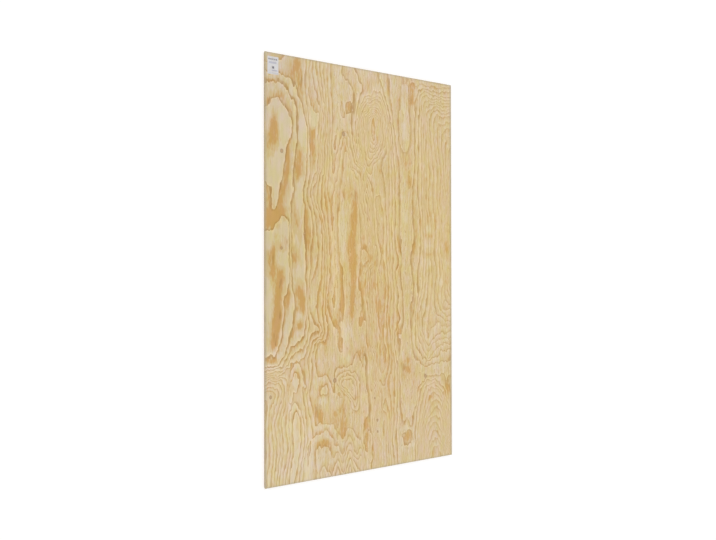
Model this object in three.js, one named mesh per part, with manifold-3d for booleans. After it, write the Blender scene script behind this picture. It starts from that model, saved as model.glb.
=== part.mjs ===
// Softwood plywood sheet, sold as one piece of stock, with its paper label.
//
// The sheet is a lay-up of rotary-cut veneers glued with their grain crossed, pressed, sanded on both
// faces and sawn to size, so it is one bonded solid. Its section shows on the four sawn edges: wood
// shrinks across its grain and hardly along it, so each veneer draws back a hair from the saw cut on
// the two edges that run with its grain, and its end grain stands out on the other two.
//
// Frame: X runs across the sheet, Y along it with the grain of its faces, +Z up. The origin is the
// centre of the underside. The better face is up and carries the label. Millimetres.

import * as THREE from 'three';
import { mergeVertices } from 'three/addons/utils/BufferGeometryUtils.js';
import Module from 'manifold-3d';

// Sheet
const sheetWidth = 1220;
const sheetLength = 2440;
const sheetThickness = 18;
const cornerRadius = 1.5; // corners rubbed round by handling
const arris = 0.4; // sharp edges of both faces taken off by the sander

// Lay-up: an odd number of plies, so that both faces have their grain along Y
const plyCount = 7;
const sandedOff = 0.35; // taken from each face veneer after pressing
const drawBack = 0.15; // side grain behind the saw cut

// Label, stuck to the better face near one corner
const labelWidth = 62;
const labelLength = 100;
const labelThickness = 0.2;
const labelCornerRadius = 2;
const labelSideInset = 17; // from the long edge on the -X side
const labelEndInset = 22; // from the short edge at +Y

const cutOvershoot = 5; // how far a cutting block reaches past what it cuts
const arcSegments = 6; // facets in a quarter round

const wasm = await Module();
wasm.setup();

// The veneers go into the press with one thickness, and the sander thins the outer two.
const veneerThickness = (sheetThickness + 2 * sandedOff) / plyCount;

// Lowest and highest level of a ply, counted from 0 at the underside.
function plyLevels(ply) {
  const low = ply === 0 ? 0 : ply * veneerThickness - sandedOff;
  const high = ply === plyCount - 1 ? sheetThickness : (ply + 1) * veneerThickness - sandedOff;
  return { low, high };
}

function roundedRectangle(width, length, radius) {
  const x = width / 2;
  const y = length / 2;
  const outline = new THREE.Shape();
  outline.moveTo(x, y - radius);
  outline.absarc(x - radius, y - radius, radius, 0, Math.PI / 2);
  outline.absarc(-x + radius, y - radius, radius, Math.PI / 2, Math.PI);
  outline.absarc(-x + radius, -y + radius, radius, Math.PI, 1.5 * Math.PI);
  outline.absarc(x - radius, -y + radius, radius, -Math.PI / 2, 0);
  outline.closePath();
  return outline;
}

function toSolid(geometry) {
  geometry.deleteAttribute('normal');
  geometry.deleteAttribute('uv');
  const merged = mergeVertices(geometry, 1e-4);
  return new wasm.Manifold(new wasm.Mesh({
    numProp: 3,
    vertProperties: merged.attributes.position.array,
    triVerts: Uint32Array.from(merged.index.array),
  }));
}

function toGeometry(solid) {
  const { vertProperties, triVerts } = solid.getMesh();
  const geometry = new THREE.BufferGeometry();
  geometry.setAttribute('position', new THREE.BufferAttribute(vertProperties, 3));
  geometry.setIndex(new THREE.BufferAttribute(triVerts, 1));
  geometry.computeVertexNormals();
  return geometry;
}

// The sheet as it leaves the trim saw and the sander, with eased arrises round both faces.
function sawnBlank() {
  const geometry = new THREE.ExtrudeGeometry(
    roundedRectangle(sheetWidth, sheetLength, cornerRadius),
    {
      depth: sheetThickness - 2 * arris,
      bevelThickness: arris,
      bevelSize: arris,
      bevelOffset: -arris,
      bevelSegments: 2,
      curveSegments: arcSegments,
    },
  );
  geometry.translate(0, 0, arris);
  return toSolid(geometry);
}

// The sliver that one ply has lost from one of its two side-grain edges.
function drawnBackSliver(ply, side) {
  const grainAlongY = ply % 2 === 0;
  const { low, high } = plyLevels(ply);
  const bottom = ply === 0 ? low - cutOvershoot : low;
  const top = ply === plyCount - 1 ? high + cutOvershoot : high;
  const depth = drawBack + cutOvershoot;
  const halfAcross = (grainAlongY ? sheetWidth : sheetLength) / 2;
  const along = (grainAlongY ? sheetLength : sheetWidth) + 2 * cutOvershoot;
  const across = side * (halfAcross - drawBack + depth / 2);
  const geometry = grainAlongY
    ? new THREE.BoxGeometry(depth, along, top - bottom).translate(across, 0, (bottom + top) / 2)
    : new THREE.BoxGeometry(along, depth, top - bottom).translate(0, across, (bottom + top) / 2);
  return toSolid(geometry);
}

function panelGeometry() {
  let panel = sawnBlank();
  for (let ply = 0; ply < plyCount; ply += 1) {
    for (const side of [-1, 1]) {
      panel = panel.subtract(drawnBackSliver(ply, side));
    }
  }
  return toGeometry(panel);
}

function labelGeometry() {
  return new THREE.ExtrudeGeometry(
    roundedRectangle(labelWidth, labelLength, labelCornerRadius),
    { depth: labelThickness, bevelEnabled: false, curveSegments: arcSegments },
  );
}

const sandedPine = new THREE.MeshStandardMaterial({
  color: '#d2ba8a',
  roughness: 0.68,
  metalness: 0,
});

const labelPaper = new THREE.MeshStandardMaterial({
  color: '#dcd8de',
  roughness: 0.55,
  metalness: 0,
});

const panel = new THREE.Mesh(panelGeometry(), sandedPine);
panel.name = 'plywood_panel';

const label = new THREE.Mesh(labelGeometry(), labelPaper);
label.name = 'paper_label';
label.position.set(
  -sheetWidth / 2 + labelSideInset + labelWidth / 2,
  sheetLength / 2 - labelEndInset - labelLength / 2,
  sheetThickness,
);

const sheet = new THREE.Group();
sheet.name = 'plywood_sheet';
sheet.add(panel, label);

export default sheet;
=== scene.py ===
"""A full seven-ply sheet of sanded softwood plywood, lying face up with its grade label.

The face veneer, the inner plies, the back veneer, the label and the stage have an operator each.
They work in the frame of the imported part: X across the sheet, Y along it with the grain of its
faces, Z up, in metres.
"""

import math

import bpy
import numpy as np
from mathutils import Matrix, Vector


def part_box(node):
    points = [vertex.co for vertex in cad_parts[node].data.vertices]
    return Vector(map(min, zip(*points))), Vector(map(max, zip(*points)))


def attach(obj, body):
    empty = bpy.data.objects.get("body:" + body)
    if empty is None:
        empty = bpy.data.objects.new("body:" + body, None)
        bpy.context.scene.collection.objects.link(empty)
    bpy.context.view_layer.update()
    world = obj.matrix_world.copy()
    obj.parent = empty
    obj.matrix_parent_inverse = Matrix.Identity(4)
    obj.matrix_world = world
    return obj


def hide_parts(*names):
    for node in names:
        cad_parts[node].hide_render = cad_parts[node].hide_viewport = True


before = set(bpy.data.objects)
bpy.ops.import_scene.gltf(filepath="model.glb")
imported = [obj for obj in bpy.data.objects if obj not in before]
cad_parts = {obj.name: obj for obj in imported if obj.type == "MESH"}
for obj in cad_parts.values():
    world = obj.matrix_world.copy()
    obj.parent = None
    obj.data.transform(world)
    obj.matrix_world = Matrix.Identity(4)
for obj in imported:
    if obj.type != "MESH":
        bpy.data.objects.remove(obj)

bl_info = {
    "name": "Plywood sheet",
    "version": (1, 0, 0),
    "blender": (4, 5, 0),
    "location": "View3D > Sidebar > Plywood",
    "description": "A seven-ply sheet with its crossed veneers, its figure and its label",
    "category": "Object",
}

MM = 0.001
PANEL_LOW, PANEL_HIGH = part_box("plywood_panel")
LABEL_LOW, LABEL_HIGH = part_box("paper_label")
SHEET_WIDTH = PANEL_HIGH.x - PANEL_LOW.x
SHEET_LENGTH = PANEL_HIGH.y - PANEL_LOW.y
SHEET_THICKNESS = PANEL_HIGH.z - PANEL_LOW.z
BODY = "root"


def linear(hex_colour):
    """An sRGB colour such as "#d3ba8c" as linear red, green and blue."""
    parts = [int(hex_colour[i:i + 2], 16) / 255 for i in (1, 3, 5)]
    return tuple(c / 12.92 if c <= 0.04045 else ((c + 0.055) / 1.055) ** 2.4 for c in parts)


# ---------------------------------------------------------------- the figure of the veneers
#
# A veneer is peeled from a turning log, so its growth rings show as the contours of a slowly
# rolling surface: fine parallel lines where the knife crossed the rings, broad patches of early or
# late wood where it ran along one, arches, ovals and eyes over swellings of the trunk. Each entry
# of the LINES below is one ring line, drawn smoothly through a few places: the ring's number, and
# then the places, as millimetres from the left edge and from the labelled end. Each entry of the
# SPOTS gives places between two lines, and its fraction says how far between. A thin plate bent
# through them all gives the ring number everywhere, and its fraction is how far through the year's
# growth the wood is.

FACE_LINES = (
    # the swelling along the left edge: an eye, its lower lobe and the arches over them
    (0, (-12, 322), (25, 278), (75, 245), (112, 292), (147, 360), (152, 440), (122, 540),
     (101, 660), (84, 750), (66, 850), (50, 890), (36, 800), (28, 745), (-12, 738)),
    (0, (-12, 1012), (40, 1008), (93, 948), (118, 925), (136, 1000), (141, 1150), (136, 1290),
     (104, 1400), (101, 1500), (85, 1650), (40, 1698), (-12, 1703)),
    (-1, (-12, 175), (45, 160), (85, 148), (135, 190), (168, 275), (181, 400), (180, 520),
     (163, 680), (166, 760), (146, 870), (143, 970), (153, 1100), (153, 1280), (172, 1430),
     (155, 1560), (108, 1705), (70, 1750), (-12, 1764)),
    (-2, (-12, 128), (95, 118), (160, 140), (186, 205), (216, 292), (238, 380), (243, 520),
     (235, 680), (221, 790), (229, 840), (224, 960), (230, 1180), (238, 1330), (232, 1540),
     (205, 1632), (150, 1670), (90, 1765), (-12, 1784)),
    (-3, (234, 0), (228, 165), (240, 290), (257, 400), (261, 540), (256, 680), (243, 790),
     (262, 900), (273, 1030), (262, 1100), (258, 1260), (247, 1480), (250, 1560), (218, 1680),
     (160, 1715), (100, 1785), (-12, 1800)),
    (-4, (258, 0), (252, 120), (258, 250), (300, 299), (316, 304), (314, 360), (306, 450),
     (306, 620), (266, 740), (262, 790), (282, 900), (303, 1080), (298, 1200), (268, 1300),
     (256, 1430), (262, 1480), (312, 1590)),
    (-5, (278, 0), (274, 120), (318, 262), (330, 320), (318, 500), (322, 600), (284, 740),
     (280, 800), (325, 960), (333, 1100), (322, 1280), (298, 1460), (328, 1570)),
    (-6, (300, 60), (330, 240), (345, 400), (330, 500), (335, 600), (302, 750), (300, 820),
     (347, 1000), (347, 1200), (340, 1400)),
    (-8, (338, 60), (368, 400), (362, 600), (345, 750), (378, 1050), (378, 1250), (368, 1400)),
    # the lower left: rings crowded round a knot, and the arch beside it
    (-4, (-12, 1816), (92, 1806), (150, 1755), (180, 1742), (200, 1785), (218, 1835), (234, 1900)),
    (-5, (-12, 1834), (85, 1826), (122, 1850), (124, 1930), (116, 2000), (100, 2060), (104, 2260),
     (86, 2440)),
    (-6, (-12, 1852), (80, 1846), (107, 1870), (107, 1940), (98, 2000), (84, 2070), (86, 2260),
     (68, 2440)),
    (-7, (-12, 1870), (70, 1866), (92, 1890), (92, 1940), (82, 1990), (66, 2070), (68, 2260),
     (52, 2440)),
    (-8, (-12, 1888), (58, 1886), (77, 1905), (77, 1940), (64, 1978), (48, 2070), (48, 2260),
     (35, 2440)),
    (-9, (-12, 1906), (45, 1905), (61, 1920), (61, 1942), (46, 1966), (28, 2070), (28, 2260),
     (16, 2440)),
    (-3, (133, 1945), (138, 1905), (152, 1862), (178, 1812), (192, 1850), (190, 1900), (158, 1935),
     (133, 1945)),
    (-4, (125, 2080), (128, 2250), (118, 2330), (104, 2440)),
    (-3, (122, 2440), (133, 2350), (143, 2250), (140, 2100), (150, 2015), (168, 1978), (190, 2015),
     (212, 2090), (222, 2240), (206, 2330), (188, 2440)),
    (-2, (140, 2440), (152, 2340), (160, 2250), (160, 2130), (166, 2060), (178, 2035), (190, 2065),
     (200, 2150), (203, 2225), (186, 2330), (166, 2440)),
    (-4, (225, 2050), (240, 2250), (222, 2330), (215, 2440)),
    (-5, (236, 1950), (246, 2040), (262, 2130), (283, 2195), (300, 2182), (330, 2188), (350, 2172),
     (375, 2185), (402, 2212)),
    (-5, (268, 2215), (250, 2250), (245, 2440)),
    (-6, (250, 1930), (262, 2000), (277, 2090), (287, 2150), (297, 2085), (306, 2020)),
    (-6, (312, 2132), (350, 2130), (380, 2142), (412, 2160)),
    (-6, (327, 1935), (345, 1912), (363, 1935), (345, 1958), (327, 1935)),
    (-4, (300, 2420), (298, 2300), (303, 2264), (335, 2258), (368, 2264), (385, 2300), (404, 2332),
     (430, 2302), (463, 2376), (495, 2284), (510, 2270), (530, 2342), (555, 2378), (572, 2338),
     (592, 2450)),
    (-3, (322, 2440), (325, 2395), (340, 2370), (360, 2395), (392, 2424), (412, 2376), (430, 2348),
     (463, 2422), (495, 2330), (510, 2316), (530, 2388), (555, 2424), (568, 2450)),
    (-2, (410, 2450), (430, 2398), (446, 2450)),
    (-2, (478, 2450), (495, 2376), (510, 2360), (524, 2420), (536, 2450)),
    (-1, (494, 2450), (505, 2406), (516, 2450)),
    # the middle: a cathedral, its long orange streak and the fine-ringed oval beside it
    (-9, (405, 1450), (410, 1250), (402, 900), (404, 780), (428, 670), (446, 560), (478, 442),
     (500, 500), (527, 612), (572, 660), (579, 710), (578, 800), (603, 940), (612, 1000)),
    (-8, (447, 1180), (436, 1040), (438, 850), (447, 760), (450, 690), (466, 600), (472, 530),
     (483, 514), (500, 530), (512, 600), (540, 670), (566, 725), (563, 860), (572, 1010),
     (572, 1190), (560, 1290)),
    (-10, (412, 640), (440, 470), (466, 398), (490, 400), (515, 470), (535, 560), (590, 640)),
    (-11, (462, 235), (482, 276), (505, 288), (530, 262)),
    (-13, (550, 420), (556, 290), (600, 168), (650, 150)),
    (-16, (585, 430), (586, 290), (640, 205), (690, 200), (722, 250), (738, 320), (742, 420),
     (712, 500), (662, 575)),
    (-19, (617, 430), (617, 320), (640, 262), (668, 250), (700, 290), (707, 400), (680, 470)),
    (-22, (645, 370), (660, 292), (676, 360), (662, 425)),
    (-14, (570, 520), (606, 640), (640, 760), (652, 900)),
    (-14, (765, 520), (772, 700), (768, 900)),
    (-8, (438, 1545), (451, 1605), (466, 1725)),
    (-8, (610, 1550), (611, 1650), (630, 1760), (632, 1850), (655, 2050), (650, 2150),
     (660, 2250)),
    # the lower middle: zigzags, and the swirl that runs from a knot
    (-7, (430, 1806), (490, 1802), (518, 1796), (532, 1765), (550, 1728), (567, 1758), (592, 1805),
     (604, 1860), (612, 1960), (624, 2080), (600, 2140), (597, 2270), (618, 2330), (642, 2450)),
    (-6, (425, 1868), (440, 1845), (480, 1832), (540, 1836), (558, 1860), (564, 1990), (562, 2055),
     (548, 2078), (530, 2068), (500, 1985), (460, 1940), (430, 1905)),
    (-5, (445, 1870), (465, 1852), (510, 1852), (538, 1880), (552, 1940), (552, 2020), (540, 2040),
     (520, 2000), (495, 1965), (450, 1915)),
    (-4, (470, 1868), (505, 1870), (530, 1905), (540, 1960), (532, 1990), (505, 1955),
     (468, 1915)),
    (-5, (415, 2262), (430, 2258), (463, 2334), (495, 2236), (510, 2225), (530, 2300), (555, 2334),
     (572, 2292), (595, 2400), (600, 2450)),
    # the right half: a pale tongue between bold lines, then nested valleys and arches
    (-12, (700, 30), (740, 130), (774, 250), (792, 400), (806, 560), (815, 750), (818, 850),
     (813, 1020), (826, 1120), (839, 1180), (821, 1230), (836, 1400), (828, 1470), (842, 1520),
     (812, 1620), (822, 1800), (820, 2100), (825, 2420)),
    (-11, (765, 40), (793, 220), (813, 400), (837, 540), (846, 700), (848, 1000), (850, 1130),
     (860, 1350), (869, 1520), (858, 1640), (838, 1750), (834, 1850), (850, 2050), (869, 2172),
     (882, 2155), (900, 2165), (918, 2205), (926, 2140), (955, 2040), (966, 1972), (1012, 1930)),
    (-10, (903, 10), (908, 200), (912, 330), (893, 460), (870, 486), (850, 455), (840, 330),
     (848, 120)),
    (-11, (1232, 35), (1080, 62), (1020, 58), (984, 70), (957, 130), (946, 250), (944, 400),
     (942, 580), (928, 800), (934, 950), (936, 1050), (914, 1150), (918, 1200), (935, 1320),
     (916, 1470), (912, 1560), (930, 1730), (950, 1790), (985, 1830)),
    (-12, (1232, 64), (1080, 94), (1010, 82), (986, 94), (978, 160), (974, 280), (968, 400),
     (966, 720), (980, 900), (984, 1080), (965, 1230), (966, 1420), (945, 1560), (951, 1710),
     (1000, 1792), (1045, 1810), (1090, 1800), (1130, 1768), (1232, 1757)),
    (-13, (1232, 96), (1080, 115), (1012, 104), (997, 130), (994, 220), (993, 600), (995, 800),
     (1005, 1100), (998, 1310), (985, 1380), (961, 1560), (985, 1700), (1045, 1787), (1075, 1766),
     (1130, 1718), (1232, 1719)),
    (-14, (1012, 500), (1010, 650), (1025, 1100), (1022, 1300), (975, 1560), (1015, 1700),
     (1045, 1756), (1095, 1684), (1130, 1677), (1232, 1681)),
    (-15, (1025, 1460), (1000, 1560), (1045, 1712), (1110, 1642), (1232, 1641)),
    (-16, (1040, 1530), (1046, 1660), (1085, 1590), (1232, 1600)),
    (-11, (1065, 1912), (1130, 1910), (1232, 1918)),
    (-12, (1012, 1945), (985, 1985), (968, 2060), (945, 2180), (941, 2430)),
    (-12, (1065, 1928), (1232, 1940)),
    (-13, (1003, 2040), (985, 2110), (965, 2220), (962, 2430)),
    (-13, (1065, 1944), (1110, 1960), (1140, 2000), (1170, 2060), (1185, 2150), (1190, 2300)),
    (-12, (850, 2250), (862, 2300), (885, 2332), (915, 2330), (930, 2290), (915, 2245), (885, 2238),
     (850, 2250)),
)

FACE_SPOTS = (
    # inside the eye and its lobe: pale ground, orange streaks
    (0.25, (75, 300), (108, 370), (112, 450), (80, 620), (60, 700), (20, 640), (22, 330), (52, 780),
     (110, 1000), (60, 1040), (20, 1060), (115, 1150), (72, 1160), (125, 1260), (22, 1440),
     (15, 1600)),
    (0.9, (48, 400), (50, 480), (46, 1110), (46, 1180), (95, 1270), (76, 1350), (70, 1450),
     (66, 1550), (60, 1630)),
    (0.6, (52, 340), (42, 560), (52, 1340), (95, 1340), (92, 1460), (46, 1540)),
    (0.8, (95, 1090)),
    (0.35, (30, 1340), (50, 1690)),
    (-0.15, (20, 790), (30, 920), (70, 930), (95, 890), (40, 985), (120, 620), (108, 760),
     (132, 1365), (124, 1430), (45, 1716)),
    (-0.35, (60, 218), (125, 245), (138, 600), (136, 680), (120, 800), (105, 855), (112, 1520)),
    (-0.8, (10, 215), (60, 185), (100, 172), (128, 212), (150, 258), (166, 330), (167, 420),
     (158, 570), (146, 700), (136, 840), (129, 900), (148, 1430), (128, 1580), (90, 1705),
     (30, 1745)),
    (-1.7, (197, 330), (197, 450), (207, 740), (205, 820), (150, 175), (185, 1240), (215, 1250),
     (190, 1500), (200, 1590)),
    (-1.2, (200, 560), (192, 650), (186, 700), (178, 960), (175, 1150), (205, 1350), (208, 1430),
     (200, 1553)),
    (-2.2, (180, 40), (197, 100), (212, 140)),
    (-2.6, (60, 80), (130, 40)),
    (-3.15, (285, 420), (287, 505), (293, 600), (165, 1930)),
    (-3.85, (285, 325), (265, 365)),
    (-4.6, (310, 1000), (285, 1290), (300, 1380)),
    (-10, (385, 60), (398, 400), (388, 750)),
    (-7, (315, 1650), (310, 1850)),
    (-7.6, (385, 1650), (370, 1780)),
    # the lower left
    (-2.7, (172, 1870)),
    (-3.8, (140, 2000), (210, 1965)),
    (-1.6, (180, 2110), (180, 2240)),
    (-4.2, (213, 1900), (120, 2065)),
    (-4.75, (262, 2290), (258, 2400)),
    (-5.6, (345, 1935)),
    (-6.75, (340, 1988), (430, 2010), (515, 2120), (590, 1960), (585, 2180)),
    (-6.2, (335, 2080), (395, 2095), (465, 2050), (478, 2130), (465, 2210)),
    (-3.75, (340, 2310)),
    (-7.5, (410, 1876)),
    (-3.4, (495, 1900)),
    # the cathedral
    (-8.2, (483, 488), (455, 1215), (455, 1320), (445, 1440), (608, 1090), (625, 1170), (588, 1370),
     (575, 1515)),
    (-8.7, (605, 1225), (612, 1450)),
    (-7.75, (484, 570), (492, 660), (465, 880), (465, 1000), (465, 1120), (500, 830), (483, 1270),
     (494, 1400), (492, 1490), (560, 1400), (480, 1580), (530, 1640), (590, 1620)),
    (-7.15, (465, 760), (533, 820), (533, 900), (530, 980), (522, 1050), (528, 1120), (533, 1180),
     (518, 1250), (526, 1310), (524, 1400), (521, 1490)),
    (-7.6, (508, 860), (499, 1000), (486, 1090), (495, 1160), (502, 1290)),
    (-7.3, (508, 1655), (615, 2190), (655, 2360)),
    (-10.8, (430, 60), (480, 190), (480, 350)),
    (-11.2, (485, 30), (540, 135), (508, 250)),
    (-11, (420, 500), (412, 420)),
    (-12.6, (590, 30), (660, 10)),
    (-15.6, (675, 640), (685, 730)),
    # the fine rings right of the cathedral
    (-13, (640, 800), (648, 1050), (650, 1350), (655, 1650), (670, 1900), (680, 2250)),
    (-16.5, (690, 820), (700, 1000), (692, 1250), (700, 1500), (705, 1800), (712, 2150),
     (715, 2400)),
    (-14.2, (765, 850), (768, 1200), (765, 1550), (765, 1900), (772, 2300)),
    # the tongue and what lies below it
    (-9.7, (872, 230), (880, 350)),
    (-10.15, (925, 60), (930, 140)),
    (-11.25, (755, 90), (825, 1600)),
    (-10.7, (880, 700), (882, 900), (885, 1150), (890, 1350), (885, 1600), (890, 1980), (890, 2080),
     (1000, 1875), (1100, 1860)),
    (-10.2, (918, 670), (898, 1810), (892, 1865)),
    (-11.85, (885, 2205), (890, 2390)),
    (-12.3, (892, 2288)),
    (-11.3, (1175, 2000), (1192, 2050)),
    # the right edge
    (-16, (1045, 500), (1045, 800), (1055, 1100), (1040, 210), (1110, 160), (1232, 140)),
    (-18, (1080, 320), (1150, 230), (1232, 190)),
    (-17.6, (1090, 500), (1096, 800), (1106, 1100), (1104, 1350)),
    (-21, (1180, 380), (1232, 330)),
    (-19.4, (1145, 600), (1150, 900), (1158, 1250), (1152, 1450)),
    (-25, (1205, 800), (1205, 1200)),
    (-15.5, (1040, 2110), (1120, 2060)),
    (-17, (1020, 2230), (1085, 2120), (1150, 2200)),
    (-19, (1030, 2380), (1085, 2210), (1160, 2360)),
    (-21, (1088, 2310)),
    (-23, (1090, 2440)),
)

# Where the wood drank more resin it is orange, and where it drank less it is nearly white: how far
# (1 is full orange, -1 full pale), place from the left edge and from the labelled end, and half the
# width and length of the patch, in millimetres.
FACE_TINTS = (
    # Round the eye at the top left
    (0.6, 50, 450, 22, 80), (-1.0, 112, 400, 34, 100), (-0.6, 18, 370, 10, 70),
    (-0.7, 88, 570, 26, 60), (-0.8, 58, 280, 20, 22), (0.5, 75, 222, 26, 18),
    (0.4, 28, 268, 18, 12), (0.5, 40, 160, 44, 12), (-0.5, 88, 158, 20, 18),
    (-0.9, 58, 690, 40, 90), (-0.5, 62, 800, 14, 70), (0.7, 35, 780, 13, 36),
    (0.6, 140, 520, 12, 40), (0.8, 134, 600, 14, 50), (0.8, 127, 680, 16, 44),
    (0.8, 105, 760, 24, 36), (0.6, 90, 835, 14, 40), (1.1, 45, 935, 42, 56),
    (0.7, 106, 900, 20, 34), (-0.5, 150, 190, 10, 34), (0.5, 135, 310, 14, 34),
    (0.5, 205, 300, 12, 40),
    # Down the left edge below it
    (-0.7, 24, 1050, 22, 44), (-0.9, 112, 1030, 26, 80), (0.6, 95, 1095, 8, 22),
    (-0.7, 110, 1160, 24, 50), (0.8, 45, 1150, 13, 60), (0.7, 40, 1235, 12, 44),
    (0.9, 96, 1260, 16, 66), (1.1, 78, 1400, 24, 76), (1.1, 66, 1520, 30, 76),
    (0.9, 50, 1620, 32, 44), (-0.8, 18, 1400, 15, 160), (-0.9, 132, 1260, 11, 56),
    (0.9, 132, 1370, 15, 48), (-0.7, 146, 1480, 12, 56), (-0.6, 120, 1575, 14, 60),
    (-0.5, 60, 1690, 60, 12), (0.6, 50, 1726, 36, 12), (-0.7, 55, 1765, 60, 14),
    # Beside them
    (0.7, 186, 40, 18, 46), (0.4, 204, 125, 8, 44), (-0.9, 210, 430, 24, 110),
    (0.6, 205, 570, 12, 34), (0.7, 194, 650, 15, 44), (-0.8, 196, 790, 24, 84),
    (-0.5, 166, 720, 12, 50), (-0.6, 150, 905, 10, 60), (0.6, 156, 1000, 12, 70),
    (0.5, 166, 1140, 12, 60), (0.5, 206, 1020, 8, 40), (-0.6, 216, 1110, 9, 80),
    (-0.8, 208, 1240, 26, 40), (0.8, 204, 1340, 15, 42), (0.8, 215, 1425, 12, 50),
    (-0.6, 168, 1330, 8, 80), (-0.7, 204, 1500, 22, 20), (0.8, 205, 1552, 18, 13),
    (-0.8, 286, 340, 26, 38), (0.7, 280, 420, 12, 46), (0.8, 275, 512, 15, 30),
    (-0.6, 260, 625, 10, 60), (0.6, 240, 890, 12, 60), (0.8, 256, 1040, 15, 60),
    (0.5, 254, 1150, 10, 60), (0.5, 320, 930, 15, 24), (-0.7, 318, 982, 15, 28),
    (-0.6, 270, 1430, 18, 40), (-0.4, 290, 130, 14, 60), (0.4, 360, 830, 28, 60),
    # The long streak up the middle
    (0.8, 546, 850, 18, 70), (0.9, 530, 950, 22, 70), (1.1, 520, 1060, 26, 60),
    (1.1, 530, 1160, 26, 54), (0.9, 535, 1262, 15, 56), (0.8, 525, 1390, 12, 60),
    (0.8, 520, 1480, 13, 38), (-0.9, 460, 1010, 20, 130), (-0.4, 450, 300, 22, 60),
    (0.6, 470, 472, 14, 34), (0.6, 505, 246, 12, 20), (0.3, 540, 90, 12, 70),
    (-0.4, 540, 640, 26, 22), (0.3, 460, 760, 20, 34), (-0.4, 582, 1010, 14, 40),
    (0.5, 605, 1090, 14, 50), (0.6, 630, 1162, 24, 24), (0.6, 462, 1250, 15, 50),
    (0.6, 470, 1380, 20, 80), (0.7, 586, 1350, 18, 54), (0.8, 572, 1522, 22, 28),
    (-0.8, 482, 1600, 26, 66), (-0.4, 520, 1630, 10, 60), (-0.6, 500, 1755, 15, 18),
    (0.5, 500, 1716, 15, 12), (0.6, 560, 1750, 20, 34), (0.5, 350, 1650, 16, 60),
    (0.3, 285, 1640, 20, 60),
    # The lower left
    (0.5, 185, 1822, 15, 20), (0.7, 146, 1892, 15, 32), (0.5, 205, 1890, 10, 26),
    (-0.5, 172, 1872, 11, 20), (-0.6, 160, 1985, 24, 34), (0.5, 120, 2050, 8, 40),
    (-0.5, 140, 2110, 14, 30), (0.6, 190, 2120, 12, 40), (-0.8, 332, 1984, 16, 16),
    (0.7, 340, 2058, 24, 22), (0.7, 330, 2102, 15, 24), (0.7, 402, 2080, 15, 20),
    (-0.4, 350, 2145, 40, 16), (0.6, 350, 2240, 46, 18), (0.7, 470, 2020, 20, 50),
    (0.7, 470, 2180, 22, 50), (0.5, 540, 1990, 18, 26), (-0.5, 250, 2330, 44, 66),
    (-0.4, 452, 2250, 20, 30), (-0.4, 340, 2370, 30, 26), (0.7, 610, 2150, 15, 60),
    (0.7, 622, 2270, 20, 50), (0.5, 650, 2350, 15, 50), (-0.4, 690, 2200, 20, 70),
    (-0.4, 640, 1850, 20, 60),
    # The right half
    (0.6, 926, 40, 20, 50), (0.8, 935, 140, 22, 48), (0.4, 765, 90, 12, 50),
    (-0.3, 830, 60, 24, 50), (-0.5, 880, 350, 14, 90), (-0.4, 868, 190, 20, 30),
    (0.4, 1080, 35, 32, 14), (0.4, 660, 345, 9, 50), (0.7, 920, 670, 15, 44),
    (-0.5, 875, 650, 12, 60), (0.4, 1040, 740, 18, 30), (0.5, 1050, 860, 15, 50),
    (-0.4, 885, 885, 15, 50), (0.5, 850, 900, 9, 50), (0.7, 985, 930, 12, 46),
    (-0.8, 1050, 962, 18, 24), (0.7, 1050, 1010, 26, 14), (-0.6, 1045, 1064, 28, 22),
    (0.8, 1050, 1114, 28, 11), (-0.5, 1050, 1160, 26, 24), (0.8, 1182, 1075, 16, 56),
    (0.5, 1100, 880, 10, 60), (-0.5, 1160, 860, 16, 60), (0.4, 1130, 1010, 9, 50),
    (0.5, 1100, 1400, 12, 50), (-0.5, 1170, 1190, 14, 50), (0.6, 1182, 1305, 12, 34),
    (0.9, 830, 1080, 11, 54), (0.5, 756, 1150, 10, 30), (0.8, 940, 1075, 14, 46),
    (-0.4, 946, 1160, 10, 30), (0.8, 830, 1230, 12, 44), (-0.8, 1130, 1300, 18, 25),
    (0.6, 1060, 1310, 15, 20), (0.4, 670, 1312, 20, 20), (0.5, 745, 1372, 15, 30),
    (0.5, 695, 1470, 20, 50), (0.7, 836, 1490, 13, 28), (0.9, 825, 1590, 12, 44),
    (0.6, 970, 1532, 15, 30), (0.4, 1030, 1522, 30, 8), (0.5, 625, 1680, 12, 60),
    (0.4, 750, 1740, 15, 60), (-0.4, 860, 1750, 15, 30), (0.8, 894, 1790, 10, 28),
    (1.0, 896, 1860, 18, 24), (0.6, 1206, 1720, 10, 40), (-0.3, 1130, 1840, 40, 30),
    (0.5, 970, 1990, 14, 30), (0.5, 1050, 2040, 34, 18), (0.8, 1182, 2005, 22, 46),
    (-0.4, 900, 2085, 28, 30), (0.5, 856, 2135, 12, 28), (0.5, 920, 2160, 12, 22),
    (-0.5, 882, 2212, 26, 18), (0.8, 890, 2280, 22, 32), (-0.5, 842, 2330, 20, 28),
    (-0.4, 930, 2340, 20, 30), (0.4, 1080, 2412, 26, 16),
    # Broad and faint
    (0.3, 420, 1350, 170, 450), (0.25, 730, 1700, 130, 380), (-0.25, 110, 2250, 170, 260),
    (0.3, 250, 1000, 20, 160), (0.3, 345, 880, 30, 130), (0.3, 350, 1500, 40, 200),
    (0.3, 740, 1450, 40, 200), (0.25, 650, 1250, 70, 160), (0.25, 770, 1950, 30, 250),
    (-0.3, 860, 900, 20, 260), (-0.25, 1010, 1300, 40, 300), (-0.2, 640, 60, 260, 90),
    (-0.2, 1140, 1650, 90, 260),
)

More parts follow.
